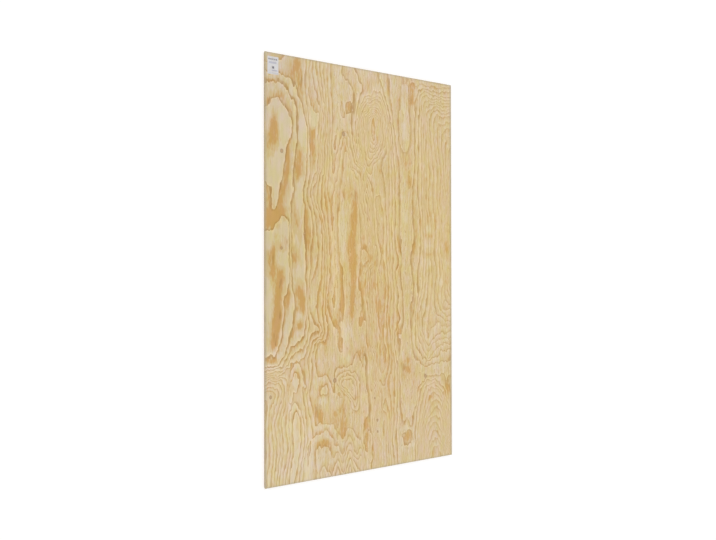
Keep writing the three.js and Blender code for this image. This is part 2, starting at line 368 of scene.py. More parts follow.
# The poorer back was peeled from a plainer log: long flat arches between belts of straight lines.
BACK_LINES = (
    (0, (0, -50), (0, 1200), (0, 2500)),
    (-6, (150, -50), (170, 700), (140, 1500), (160, 2500)),
    (-12, (330, -50), (300, 500), (320, 1200), (300, 1900), (330, 2500)),
    (-14, (400, -50), (390, 120), (360, 700), (400, 1250), (450, 700), (430, 120), (440, -50)),
    (-12, (420, 2500), (430, 1900), (455, 1500), (480, 1900), (500, 2500)),
    (-18, (560, -50), (540, 800), (570, 1600), (560, 2500)),
    (-24, (690, -50), (700, 900), (680, 1700), (700, 2500)),
    (-26, (745, 2500), (755, 1500), (790, 900), (825, 1500), (835, 2500)),
    (-24, (910, -50), (900, 900), (920, 1700), (900, 2500)),
    (-16, (1060, -50), (1080, 800), (1050, 1600), (1070, 2500)),
    (-10, (1220, -50), (1220, 1200), (1220, 2500)),
)
BACK_TINTS = (
    (0.6, 405, 420, 18, 160), (-0.6, 470, 1700, 22, 220), (0.5, 790, 1250, 20, 200),
    (-0.5, 790, 640, 20, 150), (0.5, 110, 1500, 24, 180), (-0.5, 1120, 900, 30, 240),
    (0.5, 1010, 1900, 20, 160), (-0.4, 260, 900, 26, 200), (0.3, 620, 1900, 150, 400),
    (-0.25, 900, 350, 200, 300),
)
BACK_SPOTS = ((-16, (405, 60), (405, 600)), (-10, (460, 2200)), (-28.5, (790, 1700), (790, 2450)))

# Pin knots: millimetres from the left edge and from the labelled end, and width.
FACE_KNOTS = (
    (97, 548, 13), (468, 410, 15), (33, 1935, 11), (410, 1876, 15), (685, 2145, 9), (686, 2215, 8),
    (1022, 1903, 13), (668, 2008, 7), (95, 1098, 10),
)
BACK_KNOTS = ((236, 431, 14), (613, 1242, 17), (874, 2018, 12), (902, 716, 9), (1105, 1480, 15))

# Gaps between the sheets of an inner ply: ply, place along the edge in metres and width in
# millimetres.
CORE_GAPS = ((1, -0.412, 1.6), (3, 0.655, 2.4), (5, 0.148, 1.2), (2, 0.236, 1.8), (4, -0.301, 1.3))


# ---------------------------------------------------------------- settings

class SheetSettings(bpy.types.PropertyGroup):
    """Sizes of the lay-up and its sawn edges."""

    ply_count: bpy.props.IntProperty(
        name="Plies", description="Veneers in the lay-up, an odd number", default=7, min=3)
    sanded_off: bpy.props.FloatProperty(
        name="Sanded off", description="Taken from each face veneer after pressing",
        default=0.35 * MM, unit="LENGTH", precision=5)
    draw_back: bpy.props.FloatProperty(
        name="Draw-back", description="Side grain behind the saw cut",
        default=0.15 * MM, unit="LENGTH", precision=5)
    corner_radius: bpy.props.FloatProperty(
        name="Corner radius", description="Corners rubbed round by handling",
        default=1.5 * MM, unit="LENGTH", precision=5)
    arris: bpy.props.FloatProperty(
        name="Arris", description="Sharp edge of a face taken off by the sander",
        default=0.4 * MM, unit="LENGTH", precision=5)
    saw_marks: bpy.props.FloatProperty(
        name="Saw marks", description="Depth of the marks that the trim saw leaves",
        default=0.25 * MM, unit="LENGTH", precision=5)


class WoodColours(bpy.types.PropertyGroup):
    """Colours of the wood."""

    earlywood: bpy.props.FloatVectorProperty(
        name="Earlywood", description="Pale spring growth", subtype="COLOR",
        default=linear("#d6be91"))
    palest: bpy.props.FloatVectorProperty(
        name="First growth", description="The palest wood, just past a ring line",
        subtype="COLOR", default=linear("#dbcaa9"))
    latewood: bpy.props.FloatVectorProperty(
        name="Latewood", description="Orange summer growth", subtype="COLOR",
        default=linear("#cba161"))
    end_grain: bpy.props.FloatVectorProperty(
        name="End grain", description="Cut ends of the fibres", subtype="COLOR",
        default=linear("#b58c5c"))
    glue: bpy.props.FloatVectorProperty(
        name="Glue line", description="Cured resin between two plies", subtype="COLOR",
        default=linear("#5e4128"))


class LabelSettings(bpy.types.PropertyGroup):
    """The label."""

    corner_radius: bpy.props.FloatProperty(
        name="Corner radius", description="Die-cut corner", default=2 * MM, unit="LENGTH",
        precision=4)
    paper: bpy.props.FloatVectorProperty(
        name="Paper", description="Coated label paper", subtype="COLOR", default=linear("#d3d1d1"))
    ink: bpy.props.FloatVectorProperty(
        name="Ink", description="Dark print", subtype="COLOR", default=linear("#45424e"))


class StageSettings(bpy.types.PropertyGroup):
    """Camera, floor and light."""

    camera_place: bpy.props.FloatVectorProperty(
        name="Camera", description="Where the camera stands", subtype="TRANSLATION", unit="LENGTH",
        default=(-0.977, -0.0139, 2.411))
    camera_turn: bpy.props.FloatVectorProperty(
        name="Camera turn", description="Turn from straight down", subtype="EULER", unit="ROTATION",
        default=tuple(math.radians(a) for a in (0.29, -21.14, -0.11)))
    lens: bpy.props.FloatProperty(
        name="Lens", description="Focal length on a 36 mm sensor, in millimetres", default=21.34)
    sky: bpy.props.FloatProperty(
        name="Sky light", description="Brightness of the even light from all round", default=0.62)
    key: bpy.props.FloatProperty(
        name="Key light", description="Strength of the wide soft lamp", default=1.25)
    floor_colour: bpy.props.FloatVectorProperty(
        name="Floor", description="Pale studio floor", subtype="COLOR", default=linear("#ffffff"))


class PlywoodSettings(bpy.types.PropertyGroup):
    """Everything about the sheet that a user would change."""

    sheet: bpy.props.PointerProperty(type=SheetSettings)
    wood: bpy.props.PointerProperty(type=WoodColours)
    label: bpy.props.PointerProperty(type=LabelSettings)
    stage: bpy.props.PointerProperty(type=StageSettings)


# ---------------------------------------------------------------- helpers: meshes

# Faces round the quarter turn of a corner.
CORNER_STEPS = 3
# A face lies level if its normal has more of Z than this. Any other is part of a side.
LEVEL = 0.9


def peeled_thickness(sheet):
    """Thickness of a veneer from the log. All start equal and the sander thins the outer two."""
    return (SHEET_THICKNESS + 2 * sheet.sanded_off) / sheet.ply_count


def ply_levels(sheet, ply):
    """Lowest and highest level of a ply."""
    veneer = peeled_thickness(sheet)
    low = 0.0 if ply == 0 else ply * veneer - sheet.sanded_off
    top = ply == sheet.ply_count - 1
    high = SHEET_THICKNESS if top else (ply + 1) * veneer - sheet.sanded_off
    return low, high


def in_scene(name, data):
    """A new object of the scene with this mesh, lamp or camera."""
    thing = bpy.data.objects.new(name, data)
    bpy.context.scene.collection.objects.link(thing)
    return thing


def new_piece(name, vertices, faces, *materials):
    """A mesh object at the origin, with its place in its mesh."""
    mesh = bpy.data.meshes.new(name)
    mesh.from_pydata(vertices, [], faces)
    mesh.validate()
    mesh.update()
    for material in materials:
        mesh.materials.append(material)
    return in_scene(name, mesh)


def smooth_noise(x, y, seed):
    """Smooth random values from -1 to 1, one hill or hollow to each unit square."""
    repeat = 64
    table = np.random.default_rng(seed).uniform(-1, 1, (repeat, repeat))
    column, row = np.floor(x).astype(int), np.floor(y).astype(int)
    fx, fy = x - column, y - row
    fx, fy = fx * fx * (3 - 2 * fx), fy * fy * (3 - 2 * fy)

    def corner(i, j):
        return table[(column + i) % repeat, (row + j) % repeat]

    near = corner(0, 0) * (1 - fx) + corner(1, 0) * fx
    far = corner(0, 1) * (1 - fx) + corner(1, 1) * fx
    return near * (1 - fy) + far * fy


def along_line(points, step=40):
    """Places no more than step millimetres apart along a smooth curve through the points."""
    knots = np.array(points, float)
    if len(knots) < 3:
        return knots
    spans = np.hypot(*np.diff(knots, axis=0).T)
    chords = np.diff(knots, axis=0) / spans[:, None]
    turns = np.vstack([chords[:1], (chords[1:] + chords[:-1]) / 2, chords[-1:]])
    places = []
    for i, span in enumerate(spans):
        t = np.arange(0, 1, 1 / math.ceil(span / step))[:, None]
        places.append((2 * t**3 - 3 * t**2 + 1) * knots[i] + (3 * t**2 - 2 * t**3) * knots[i + 1]
                      + span * ((t**3 - 2 * t**2 + t) * turns[i] + (t**3 - t**2) * turns[i + 1]))
    return np.vstack([*places, knots[-1:]])


def bent_plate(lines, spots, x, y):
    """A thin plate bent through the marks: its ring number at x, y (mm), and its slopes there.

    Lengths along the grain count less, because figure is drawn out along the trunk. The plate is
    worked out in units of 100 mm, and for a few thousand places at a time, which saves memory. It
    has a little slack, so that marks close together don't crease it.
    """
    along = 0.45
    unit = 100
    at_a_time = 8000
    give = 2e-3
    tiny = 1e-12
    marks = [(m[0], px, py) for m in lines for px, py in along_line(m[1:])]
    marks += [(m[0], px, py) for m in spots for px, py in m[1:]]
    places = np.unique(np.array(marks, float), axis=0)
    ring, px, py = places[:, 0], places[:, 1] / unit, places[:, 2] * along / unit

    def bend(squared):
        return 0.5 * squared * np.log(squared + tiny)

    stiffness = bend((px[:, None] - px) ** 2 + (py[:, None] - py) ** 2)
    slack = give * np.eye(len(ring))
    plane = np.column_stack([np.ones_like(px), px, py])
    system = np.block([[stiffness + slack, plane], [plane.T, np.zeros((3, 3))]])
    weights = np.linalg.solve(system, np.concatenate([ring, np.zeros(3)]))
    bends, level, tilt_x, tilt_y = weights[:-3], *weights[-3:]
    rings, slopes_x, slopes_y = (np.empty(len(x)) for _ in range(3))
    for start in range(0, len(x), at_a_time):
        part = slice(start, start + at_a_time)
        qx, qy = x[part] / unit, y[part] * along / unit
        dx, dy = qx[:, None] - px, qy[:, None] - py
        squared = dx * dx + dy * dy + tiny
        logs = np.log(squared)
        rings[part] = (0.5 * squared * logs) @ bends + level + tilt_x * qx + tilt_y * qy
        slopes_x[part] = ((logs + 1) * dx @ bends + tilt_x) / unit
        slopes_y[part] = ((logs + 1) * dy @ bends + tilt_y) * along / unit
    return rings, slopes_x, slopes_y


def edge_loop(half_x, half_y, radius, nx, ny):
    """Points round a rounded rectangle, anticlockwise from its -X -Y corner.

    A side of the nx by ny grid inside has one point for each grid vertex between its corners.
    """
    points = []
    across = np.linspace(-1, 1, nx + 1)[1:-1] * (half_x - radius)
    along = np.linspace(-1, 1, ny + 1)[1:-1] * (half_y - radius)
    sides = ([(x, -half_y) for x in across], [(half_x, y) for y in along],
             [(x, half_y) for x in across[::-1]], [(-half_x, y) for y in along[::-1]])
    corners = ((-1, -1), (1, -1), (1, 1), (-1, 1))
    for turn, (side, (sx, sy)) in enumerate(zip(sides, corners)):
        for step in range(CORNER_STEPS + 1):
            angle = math.pi * (1 + turn / 2 + step / CORNER_STEPS / 2)
            points.append((sx * (half_x - radius) + radius * math.cos(angle),
                           sy * (half_y - radius) + radius * math.sin(angle)))
        points.extend(side)
    return np.array(points)


def slab(outlines, nx, ny):
    """A flat slab from a list of (half_x, half_y, radius, z) outlines, top one first.

    Its top is a grid of nx by ny cells, so that the figure can be drawn on it, and its underside is
    one face. Returns the vertices and faces.
    """
    half_x, half_y, top_radius, z = outlines[0]
    gx = np.linspace(-1, 1, nx + 1) * (half_x - top_radius)
    gy = np.linspace(-1, 1, ny + 1) * (half_y - top_radius)
    vertices = [(x, y, z) for y in gy for x in gx]
    row = nx + 1
    faces = [(j * row + i, j * row + i + 1, (j + 1) * row + i + 1, (j + 1) * row + i)
             for j in range(ny) for i in range(nx)]
    border = []
    sides = (list(range(1, nx)), [j * row + nx for j in range(1, ny)],
             [ny * row + i for i in range(nx - 1, 0, -1)], [j * row for j in range(ny - 1, 0, -1)])
    corners = (0, nx, ny * row + nx, ny * row)
    for corner, side in zip(corners, sides):
        border.extend([corner] * (CORNER_STEPS + 1) + side)
    previous = border
    for hx, hy, radius, level in outlines:
        loop = edge_loop(hx, hy, radius, nx, ny)
        count = len(loop)
        current = list(range(len(vertices), len(vertices) + count))
        vertices.extend((x, y, level) for x, y in loop)
        for i in range(count):
            a, b = previous[i], previous[(i + 1) % count]
            c, d = current[(i + 1) % count], current[i]
            faces.append((a, d, c, b) if a != b else (a, d, c))
        previous = current
    faces.append(tuple(reversed(previous)))
    return vertices, faces


def baking_map(piece, pixels, strip, hidden_faces, face_side=0):
    """Lays the piece out for baking into a square picture of so many pixels a side.

    From the bottom come the hidden faces, each in a thin row, then the four sides, each in a strip
    so many pixels high. The face that looks up (face_side 1) or down (-1) has the rest.
    """
    mesh = piece.data
    places = np.array([vertex.co for vertex in mesh.vertices])
    spots = ((places - places.min(axis=0)) / np.ptp(places, axis=0)).tolist()
    layer = mesh.uv_layers.new(name="OFBake", do_init=False)
    row, gap = 5, 3
    first_strip = gap + hidden_faces * (row + gap)
    first_face = first_strip + 4 * (strip + gap)
    hidden = 0
    for polygon in mesh.polygons:
        normal = polygon.normal
        if abs(normal.z) < LEVEL:
            axis = 0 if abs(normal.x) >= abs(normal.y) else 1
            side = 2 * axis + (normal[axis] > 0)
            bottom, height, along, up = first_strip + side * (strip + gap), strip, 1 - axis, 2
        elif normal.z * face_side > 0:
            bottom, height, along, up = first_face, pixels - gap - first_face, 0, 1
        else:
            bottom, height, along, up = gap + hidden * (row + gap), row, 0, 1
            hidden += 1
        for loop in polygon.loop_indices:
            spot = spots[mesh.loops[loop].vertex_index]
            layer.uv[loop].vector = ((gap + spot[along] * (pixels - 2 * gap)) / pixels,
                                     (bottom + spot[up] * height) / pixels)


# ---------------------------------------------------------------- helpers: nodes

# Settings of a Map Range that eases in and out, and of a Mix of colours.
SOFT = {"interpolation_type": "SMOOTHSTEP"}
COLOURS = {"data_type": "RGBA"}


def shown(node):
    """The output of a node that is in use with its settings."""
    return next(socket for socket in node.outputs if socket.enabled)


def feed(tree, node, inputs):
    """Links or sets the inputs of a node: values, nodes or their outputs, in order or by name.

    Only the sockets that are in use with its settings count. A colour may leave out its alpha.
    """
    sockets = [socket for socket in node.inputs if socket.enabled]
    if isinstance(inputs, dict):
        sockets = [next(socket for socket in sockets if socket.name == name) for name in inputs]
        inputs = inputs.values()
    for socket, source in zip(sockets, inputs):
        if isinstance(source, bpy.types.Node):
            source = shown(source)
        if isinstance(source, bpy.types.NodeSocket):
            tree.links.new(source, socket)
        else:
            socket.default_value = (*source, 1)[:4] if socket.type == "RGBA" else source


def add(tree, kind, inputs=(), **settings):
    """Adds a node with its settings and its inputs."""
    node = tree.nodes.new(kind)
    for name, value in settings.items():
        setattr(node, name, value)
    feed(tree, node, inputs)
    return node


def new_material(name):
    """An empty node material: (material, tree, Principled shader)."""
    material = bpy.data.materials.new(name)
    material.use_nodes = True
    tree = material.node_tree
    tree.nodes.clear()
    shader = add(tree, "ShaderNodeBsdfPrincipled")
    add(tree, "ShaderNodeOutputMaterial", {"Surface": shader})
    return material, tree, shader


def coordinates(tree):
    """Where a point of the surface is: its Object coordinates, and their X, Y and Z."""
    place = add(tree, "ShaderNodeTexCoord").outputs["Object"]
    return place, *add(tree, "ShaderNodeSeparateXYZ", (place,)).outputs


def mottling(tree, size, seed, detail=2.0):
    """Random values from 0 to 1, most of them near the middle, with features of the given size.

    The size is in metres, across and along the sheet, and through it where it isn't a metre, at
    which the level hardly counts.
    """
    place = add(tree, "ShaderNodeTexCoord").outputs["Object"]
    scaled = add(tree, "ShaderNodeMapping", {
        "Vector": place, "Location": (seed, seed * 1.7, seed * 0.6),
        "Scale": tuple(1 / s for s in (*size, 1.0)[:3])})
    return add(tree, "ShaderNodeTexNoise", {"Vector": scaled, "Scale": 1.0, "Detail": detail})


def swinging(tree, reach, size, seed, detail=2.0):
    """The same mottling, swinging about reach to either side of nothing."""
    noise = mottling(tree, size, seed, detail)
    # It seldom goes further than 0.4 from its middle, which is 0.5.
    steepness = 2.5 * reach
    return add(
        tree, "ShaderNodeMath", (noise, steepness, -steepness / 2), operation="MULTIPLY_ADD")


def patchy(tree, size, seed, levels, amounts, detail=2.0):
    """The same mottling as patches: from one amount at the first level to another at the second."""
    noise = mottling(tree, size, seed, detail)
    return add(tree, "ShaderNodeMapRange", (noise, *levels, *amounts), **SOFT)


def apart(tree, value, other):
    """How far a value is from another, either way."""
    difference = add(tree, "ShaderNodeMath", (value, other), operation="SUBTRACT")
    return add(tree, "ShaderNodeMath", (difference,), operation="ABSOLUTE")


# ---------------------------------------------------------------- materials: the veneers

def growth_rings(tree):
    """Year, season and crowding of the rings, from the attributes of a veneer.

    Its "ring" is the number of the growth ring, and its "slope" the rings to a millimetre across
    and along the sheet. The year is a whole number, the season goes from 0 to 1 through each year's
    growth, and the crowding is in rings to a millimetre.
    """
    ring = add(tree, "ShaderNodeAttribute", attribute_name="ring").outputs["Fac"]
    slope = add(tree, "ShaderNodeAttribute", attribute_name="slope").outputs["Vector"]
    across, along, _ = add(tree, "ShaderNodeSeparateXYZ", (slope,)).outputs
    crowding = add(tree, "ShaderNodeVectorMath", (slope,), operation="LENGTH")

    # Ripples of the trunk push a ring line 6.5 mm to and fro across the sheet and 20 mm along it,
    # and the knife frays it by a share of a year, least where the rings are far apart.
    ripple = swinging(tree, 6.5, (15 * MM, 55 * MM), 3.1, 1.3)
    sag = swinging(tree, 20.0, (28 * MM, 45 * MM), 8.3, 1.3)
    growth = add(tree, "ShaderNodeMath", (across, ripple, ring), operation="MULTIPLY_ADD")
    growth = add(tree, "ShaderNodeMath", (along, sag, growth), operation="MULTIPLY_ADD")
    fray = swinging(tree, 0.06, (4 * MM, 80 * MM), 5.7, 1.0)
    swell = swinging(tree, 0.24, (24 * MM, 100 * MM), 7.7, 1.0)
    ragged = add(tree, "ShaderNodeMath", (fray, swell), operation="ADD")
    raggedness = add(tree, "ShaderNodeMapRange", (crowding, 0.0, 0.05, 0.25, 1.0), **SOFT)
    ragged = add(tree, "ShaderNodeMath", (ragged, raggedness), operation="MULTIPLY")
    growth = add(tree, "ShaderNodeMath", (growth, ragged), operation="ADD")
    year = add(tree, "ShaderNodeMath", (growth,), operation="FLOOR")
    season = add(tree, "ShaderNodeMath", (growth,), operation="FRACT")
    return year, season, crowding


def ring_strength(tree, year, x, y):
    """How strongly each year's ring is marked."""
    summer = add(tree, "ShaderNodeTexWhiteNoise", {"W": year}, noise_dimensions="1D")
    summer = add(tree, "ShaderNodeMapRange", (summer.outputs["Value"], 0.0, 1.0, 0.55, 1.0))
    faint = patchy(tree, (60 * MM, 260 * MM), 14.2, (0.30, 0.62), (0.6, 1.0))
    strength = add(tree, "ShaderNodeMath", (summer, faint), operation="MULTIPLY")
    # Some summers made little latewood and some made much: those on either side of ring line -12,
    # and the first ones, less and less from ring -3 to ring -6.
    twelfth = apart(tree, year, -12.5)
    twelfth = add(tree, "ShaderNodeMapRange", (twelfth, 1.0, 0.6, 0.0, 0.95), **SOFT)
    first_ones = add(tree, "ShaderNodeMapRange", (year, -6.0, -3.0), **SOFT)
    rich = add(tree, "ShaderNodeMath", (twelfth, first_ones), operation="MAXIMUM")
    strength = add(tree, "ShaderNodeMath", (strength, rich), operation="MAXIMUM")
    # Along its length a line fades and comes back, because it wasn't cut and sanded evenly.
    fading = patchy(tree, (10 * MM, 80 * MM), 51.3, (0.34, 0.60), (0.40, 1.0))
    strength = add(tree, "ShaderNodeMath", (strength, fading), operation="MULTIPLY")
    # Both ends and the right edge were sanded hardest and show their lines least.
    for place, start, end, least in (
            (x, 0.1, 0.6, 0.78), (y, -0.3, -0.9, 0.82), (y, 0.8, 1.15, 0.82)):
        left_on = add(tree, "ShaderNodeMapRange", (place, start, end, 1.0, least), **SOFT)
        strength = add(tree, "ShaderNodeMath", (strength, left_on), operation="MULTIPLY")
    return strength


def orange_and_pale(tree, wood, season, crowding, x):
    """The colour between the ring lines, pale through plain to orange, and how orange it is."""
    # The seasons differ most near the left edge and where the rings are wide apart.
    wide = add(tree, "ShaderNodeMapRange", (crowding, 0.02, 0.08, 1.0, 0.3), **SOFT)
    left = add(tree, "ShaderNodeMapRange", (x, -0.32, -0.05, 1.0, 0.6), **SOFT)
    bold = add(tree, "ShaderNodeMath", (wide, left), operation="MULTIPLY")
    ripe = add(tree, "ShaderNodeMapRange", (season, 0.35, 0.90, -0.8, 1.0), **SOFT)
    ripe = add(tree, "ShaderNodeMath", (ripe, bold), operation="MULTIPLY")
    tint = add(tree, "ShaderNodeAttribute", attribute_name="tint").outputs["Fac"]
    warm = add(tree, "ShaderNodeMath", (ripe, 0.55, tint), operation="MULTIPLY_ADD")
    patches = swinging(tree, 0.42, (17 * MM, 60 * MM), 21.3)
    warm = add(tree, "ShaderNodeMath", (warm, patches), operation="ADD")
    # Resin ran along the fibres in veins 7 mm wide, which tear the rims of the patches.
    vein = swinging(tree, 0.60, (7 * MM, 110 * MM), 33.1)
    torn = swinging(tree, 0.75, (7 * MM, 30 * MM), 41.3)
    veins = add(tree, "ShaderNodeMath", (vein, torn), operation="ADD")
    warm = add(tree, "ShaderNodeMath", (warm, 0.92, veins), operation="MULTIPLY_ADD")
    orange = add(tree, "ShaderNodeMapRange", (warm, 0.08, 0.95), **SOFT)
    pale = add(tree, "ShaderNodeMapRange", (warm, -0.08, -0.74), **SOFT)
    colour = add(tree, "ShaderNodeMix", (orange, wood.earlywood, wood.latewood), **COLOURS)
    return add(tree, "ShaderNodeMix", (pale, colour, wood.palest), **COLOURS), orange


def ring_lines(tree, season, strength, crowding, x):
    """How strong the soft brown band that ends a year is, and the pale one that starts the next."""
    # The brown band is up to 13 mm wide and the pale one up to 14, and each has at most a share of
    # a year.
    bands = []
    to_the_end = add(tree, "ShaderNodeMath", (1.0, season), operation="SUBTRACT")
    for reach, widest, share in ((to_the_end, 13.0, 0.40), (season, 14.0, 0.48)):
        width = add(tree, "ShaderNodeMath", (crowding, widest), operation="MULTIPLY")
        width = add(tree, "ShaderNodeMath", (width, share), operation="MINIMUM")
        band = add(tree, "ShaderNodeMath", (reach, width), operation="DIVIDE")
        band = add(tree, "ShaderNodeMapRange", (band, 1.0, 0.35), **SOFT)
        bands.append(add(tree, "ShaderNodeMath", (band, strength), operation="MULTIPLY"))

    # Where the rings are very wide, other than down the left edge, the veneer still shows the knife
    # riding over them, as faint lines.
    spacing = 15 * MM
    weave = swinging(tree, 16 * MM, (22 * MM, 70 * MM), 17.9, 3.0)
    strand = add(tree, "ShaderNodeMath", (x, weave), operation="ADD")
    strand = add(tree, "ShaderNodeMath", (strand, spacing), operation="DIVIDE")
    strand = add(tree, "ShaderNodeMath", (strand,), operation="FRACT")
    bare = add(tree, "ShaderNodeMapRange", (crowding, 0.05, 0.02, 0.0, 0.55), **SOFT)
    inland = add(tree, "ShaderNodeMapRange", (x, -0.42, -0.25), **SOFT)
    bare = add(tree, "ShaderNodeMath", (bare, inland), operation="MULTIPLY")
    for i, (start, end) in enumerate(((0.72, 1.0), (0.28, 0.0))):
        ridden = add(tree, "ShaderNodeMapRange", (strand, start, end), **SOFT)
        ridden = add(tree, "ShaderNodeMath", (ridden, bare), operation="MULTIPLY")
        bands[i] = add(tree, "ShaderNodeMath", (bands[i], ridden), operation="MAXIMUM")
    return bands


def drifting_hue(tree, colour, x, y):
    """Lets the hue drift between yellow and pink over a finger's and a hand's breadth.

    The sheet is yellowest a little above its middle and palest at its ends, and the wood is darker
    down the upper part of its left edge.
    """
    finger = mottling(tree, (22 * MM, 60 * MM), 39.7, 0.0)
    hand = mottling(tree, (44 * MM, 130 * MM), 27.5, 1.0)
    hue = add(tree, "ShaderNodeMath", (hand, finger), operation="ADD")
    yellow = add(tree, "ShaderNodeMapRange", (hue, 1.0, 1.36), **SOFT)
    pink = add(tree, "ShaderNodeMapRange", (hue, 1.0, 0.64), **SOFT)
    middle = apart(tree, y, 0.22)
    middle = add(tree, "ShaderNodeMapRange", (middle, 0.85, 0.1), **SOFT)
    ends = add(tree, "ShaderNodeMath", (y,), operation="ABSOLUTE")
    ends = add(tree, "ShaderNodeMapRange", (ends, 0.9, 1.2), **SOFT)
    left = add(tree, "ShaderNodeMapRange", (x, -0.20, -0.50), **SOFT)
    upper = add(tree, "ShaderNodeMapRange", (y, -0.6, -0.2), **SOFT)
    left = add(tree, "ShaderNodeMath", (left, upper), operation="MULTIPLY")
    for amount, tone in ((yellow, (0.98, 1.0, 0.86)), (pink, (1.02, 1.0, 1.14)),
                         (middle, (0.995, 0.985, 0.87)), (ends, (0.99, 1.0, 1.05)),
                         (left, (0.925, 0.92, 0.92))):
        colour = add(
            tree, "ShaderNodeMix", (amount, colour, tone), blend_type="MULTIPLY", **COLOURS)
    return colour


def fibrous(tree, colour):
    """Draws fibres, streaks and resin canals over a colour, and returns it with the fibres.

    Fibres are a few hundredths of a millimetre wide and canals two tenths, too fine to show, so
    they are drawn in bundles 1.1 mm wide and as brown dashes 0.7 mm wide.
    """
    fibre = mottling(tree, (1.1 * MM, 60 * MM), 1.3, 3.0)
    streak = mottling(tree, (8 * MM, 240 * MM), 5.9)
    patch = mottling(tree, (170 * MM, 420 * MM), 9.4, 3.0)
    tone = 0.82
    for noise, amount in ((fibre, 0.16), (streak, 0.14), (patch, 0.06)):
        tone = add(tree, "ShaderNodeMath", (noise, amount, tone), operation="MULTIPLY_ADD")
    grey = add(tree, "ShaderNodeCombineColor", (tone, tone, tone))
    colour = add(tree, "ShaderNodeMix", (1.0, colour, grey), blend_type="MULTIPLY", **COLOURS)
    canal = patchy(tree, (0.7 * MM, 14 * MM), 12.6, (0.76, 0.86), (0.0, 0.4), detail=0.0)
    return add(tree, "ShaderNodeMix", (canal, colour, linear("#a47c4c")), **COLOURS), fibre


def pin_knots(tree, colour, place, knots):
    """The cut ends of dead twigs: a brown ring of bark round paler wood, longer than wide."""
    rim = mottling(tree, (5 * MM, 7 * MM), 2.6)
    rim = add(tree, "ShaderNodeMath", (rim, 0.5), operation="SUBTRACT")
    for across, down, width in knots:
        here = (PANEL_LOW.x + across * MM, PANEL_HIGH.y - down * MM, 0)
        to_widths = (1 / width / MM, 0.7 / width / MM, 0)
        offset = add(tree, "ShaderNodeVectorMath", (place, here), operation="SUBTRACT")
        offset = add(tree, "ShaderNodeVectorMath", (offset, to_widths), operation="MULTIPLY")
        reach = add(tree, "ShaderNodeVectorMath", (offset,), operation="LENGTH")
        reach = add(tree, "ShaderNodeMath", (rim, 0.35, reach), operation="MULTIPLY_ADD")
        for start, end, amount, tone in (
                (0.80, 0.58, 0.55, "#8c6442"), (0.48, 0.22, 0.7, "#c3a072")):
            inside = add(tree, "ShaderNodeMapRange", (reach, start, end, 0.0, amount), **SOFT)
            colour = add(tree, "ShaderNodeMix", (inside, colour, linear(tone)), **COLOURS)
    return colour


def darker_border(tree, colour, x, y):
    """Greys and darkens the face towards its borders, most of all the long ones."""
    borders = []
    for place, half, width, full, amount in (
            (x, SHEET_WIDTH / 2, 18 * MM, 2 * MM, 0.75),
            (y, SHEET_LENGTH / 2, 14 * MM, 1 * MM, 0.6)):
        inwards = add(tree, "ShaderNodeMath", (place,), operation="ABSOLUTE")
        inwards = add(tree, "ShaderNodeMath", (half, inwards), operation="SUBTRACT")
        borders.append(add(tree, "ShaderNodeMapRange", (inwards, width, full, 0.0, amount), **SOFT))
    border_darkening = add(tree, "ShaderNodeMath", borders, operation="MAXIMUM")
    cloudy = patchy(tree, (25 * MM, 90 * MM), 6.2, (0.25, 0.65), (0.45, 1.0), detail=3.0)
    border_darkening = add(tree, "ShaderNodeMath", (border_darkening, cloudy), operation="MULTIPLY")
    return add(tree, "ShaderNodeMix", (border_darkening, colour, linear("#a89f84")), **COLOURS)


def sanded_pine(wood, name, knots):
    """Rotary-cut pine veneer, belt-sanded and left bare.

    It is matt, with a faint sheen where the belt burnished the hard orange latewood. Each year's
    growth starts pale, turns orange and ends in a soft brown band.
    """
    material, tree, shader = new_material(name)
    place, x, y, _ = coordinates(tree)
    year, season, crowding = growth_rings(tree)
    strength = ring_strength(tree, year, x, y)
    colour, orange = orange_and_pale(tree, wood, season, crowding, x)
    line, halo = ring_lines(tree, season, strength, crowding, x)
    for band, amount, tone in ((halo, 0.66, "#ebd5aa"), (line, 0.76, "#ab8247")):
        band = add(tree, "ShaderNodeMath", (band, amount), operation="MULTIPLY")
        colour = add(tree, "ShaderNodeMix", (band, colour, linear(tone)), **COLOURS)
    colour = drifting_hue(tree, colour, x, y)
    colour, fibre = fibrous(tree, colour)
    colour = pin_knots(tree, colour, place, knots)
    colour = darker_border(tree, colour, x, y)

    rough = add(tree, "ShaderNodeMapRange", (orange, 0.0, 1.0, 0.70, 0.58))
    rough = add(tree, "ShaderNodeMath", (fibre, 0.08, rough), operation="MULTIPLY_ADD")
    relief = add(tree, "ShaderNodeMath", (orange, 0.6, fibre), operation="MULTIPLY_ADD")
    bump = add(tree, "ShaderNodeBump", {"Strength": 0.35, "Distance": 0.12 * MM, "Height": relief})
    feed(tree, shader, {"Base Color": colour, "Roughness": rough, "IOR": 1.46, "Normal": bump})
    return material


# ---------------------------------------------------------------- materials: edges and label

def core_gaps(tree, ply, long_edge, x, y):
    """1 where two sheets of an inner ply were laid with a gap between them, and 0 elsewhere."""
    along = add(tree, "ShaderNodeMix", (long_edge, x, y))
    gaps = 0.0
    for gap_ply, place_along, width in CORE_GAPS:
        beside = apart(tree, along, place_along)
        open_here = add(tree, "ShaderNodeMath", (beside, width / 2 * MM), operation="LESS_THAN")
        in_ply = add(tree, "ShaderNodeMath", (ply, gap_ply, 0.1), operation="COMPARE")
        slot = add(tree, "ShaderNodeMath", (open_here, in_ply), operation="MULTIPLY")
        gaps = add(tree, "ShaderNodeMath", (gaps, slot), operation="MAXIMUM")
    return gaps


